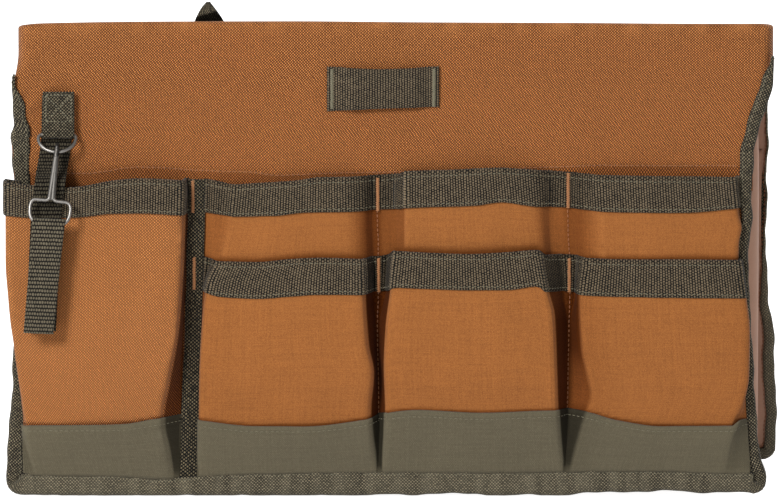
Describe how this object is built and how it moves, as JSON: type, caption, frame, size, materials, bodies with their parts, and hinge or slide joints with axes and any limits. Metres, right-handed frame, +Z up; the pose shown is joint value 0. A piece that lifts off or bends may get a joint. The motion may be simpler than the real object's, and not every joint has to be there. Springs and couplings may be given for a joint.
{
  "type": "bucket tool organiser bag",
  "caption": "Folded fabric tool organiser that hangs over a bucket rim, with pocketed aprons outside, a liner inside, and a strap closed by a wire hook on a D-ring.",
  "frame": {"origin": "on the ground under the middle of the bag, as it stands folded flat on its two hems", "axes": "+Z up, the side with the hook and the two rows of pockets faces -Y, +X to the right seen from there"},
  "size_m": [0.5036, 0.1347, 0.3205],
  "materials": {
    "canvas": "coarse woven polyester",
    "coating": "smooth coated back of the cloth",
    "base_cloth": "smooth dense weave",
    "binding_tape": "woven tape",
    "webbing": "ribbed webbing",
    "thread": "twisted thread",
    "wire": "nickel plated"
  },
  "bodies": {
    "root": {"rim_band_front": "canvas", "rim_band_back": "canvas", "liner_front": "coating", "liner_back": "coating", "inner_pocket_strip_front": "canvas", "inner_pocket_strip_back": "canvas", "hammer_loop": "webbing"},
    "front_apron": {"front_backing": "canvas", "front_yoke": "canvas", "tall_pocket_strip": "canvas", "upper_pocket_strip": "canvas", "lower_pocket_strip": "canvas", "tall_pocket_base": "base_cloth", "lower_pocket_base": "base_cloth", "front_binding_left": "binding_tape", "front_binding_right": "binding_tape", "front_binding_hem": "binding_tape", "tall_pocket_tape": "webbing", "upper_pocket_tape": "webbing", "lower_pocket_tape": "webbing", "divider_tape": "webbing", "center_loop": "webbing", "ring_tab": "webbing", "strap_back_run": "webbing", "bar_tack_1": "thread", "bar_tack_2": "thread", "bar_tack_3": "thread", "bar_tack_4": "thread", "bar_tack_5": "thread", "bar_tack_6": "thread"},
    "back_apron": {"back_backing": "canvas", "back_yoke": "canvas", "back_pocket_strip": "canvas", "back_pocket_base": "base_cloth", "back_binding_left": "binding_tape", "back_binding_right": "binding_tape", "back_binding_hem": "binding_tape", "back_pocket_tape": "webbing", "back_bar_tack_1": "thread", "back_bar_tack_2": "thread", "back_bar_tack_3": "thread"},
    "d_ring": {"d_ring": "wire"},
    "wire_hook": {"wire_hook": "wire"},
    "holding_strap": {"strap_front_run": "webbing"}
  },
  "joints": [
    {"name": "front_apron_fold", "type": "hinge", "parent": "root", "child": "front_apron", "pos_m": [0, -0.0137, 0.283], "axis": [-1, 0, 0], "range_deg": [0, 100]},
    {"name": "back_apron_fold", "type": "hinge", "parent": "root", "child": "back_apron", "pos_m": [0, 0.0137, 0.283], "axis": [1, 0, 0], "range_deg": [0, 100]},
    {"name": "ring_swing", "type": "hinge", "parent": "front_apron", "child": "d_ring", "pos_m": [-0.2162, -0.02364, 0.23785], "axis": [-1, 0, 0], "range_deg": [0, 70]},
    {"name": "hook_swing", "type": "hinge", "parent": "d_ring", "child": "wire_hook", "pos_m": [-0.2162, -0.03386, 0.22887], "axis": [-1, 0, 0], "range_deg": [0, 30]},
    {"name": "strap_swing", "type": "hinge", "parent": "wire_hook", "child": "holding_strap", "pos_m": [-0.22136, -0.056, 0.18767], "axis": [-1, 0, 0], "range_deg": [0, 45]}
  ]
}
